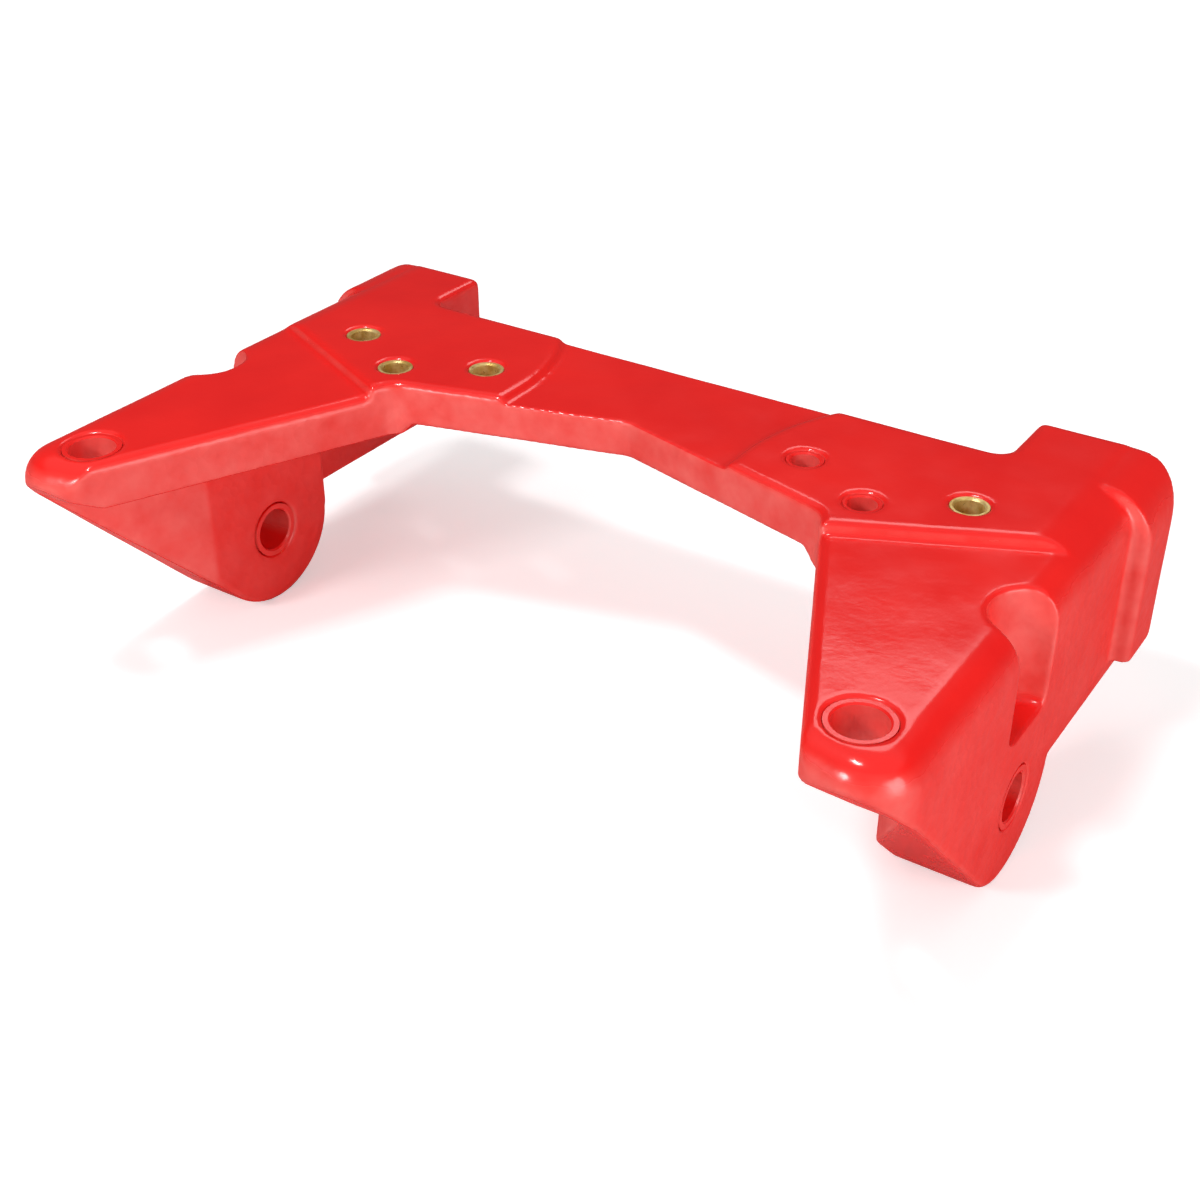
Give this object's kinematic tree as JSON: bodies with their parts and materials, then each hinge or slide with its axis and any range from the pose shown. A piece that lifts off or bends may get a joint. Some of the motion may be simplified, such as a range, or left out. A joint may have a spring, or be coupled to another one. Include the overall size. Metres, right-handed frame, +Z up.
{
  "type": "tractor drawbar support",
  "caption": "Cast support that carries a drawbar under a tractor: a cross beam, splayed arms with raised bolting pads, and deep cheeks with lugs for link pins.",
  "frame": {"origin": "middle of the two outer pad bolts, level with the top of the beam", "axes": "+X along the beam to the right, +Y from the arm tips to the back, +Z up out of the pads"},
  "size_m": [0.474, 0.2878, 0.135],
  "materials": {
    "red_paint": "gloss",
    "yellow_sleeve": "satin"
  },
  "bodies": {
    "root": {"casting": "red_paint", "pad_sleeve_outer_left": "yellow_sleeve", "pad_sleeve_middle_left": "yellow_sleeve", "pad_sleeve_inner_left": "yellow_sleeve", "tip_sleeve_left": "red_paint", "pin_bush_left": "red_paint", "pad_sleeve_outer_right": "yellow_sleeve", "pad_sleeve_middle_right": "red_paint", "pad_sleeve_inner_right": "red_paint", "tip_sleeve_right": "red_paint", "pin_bush_right": "red_paint"}
  },
  "joints": []
}
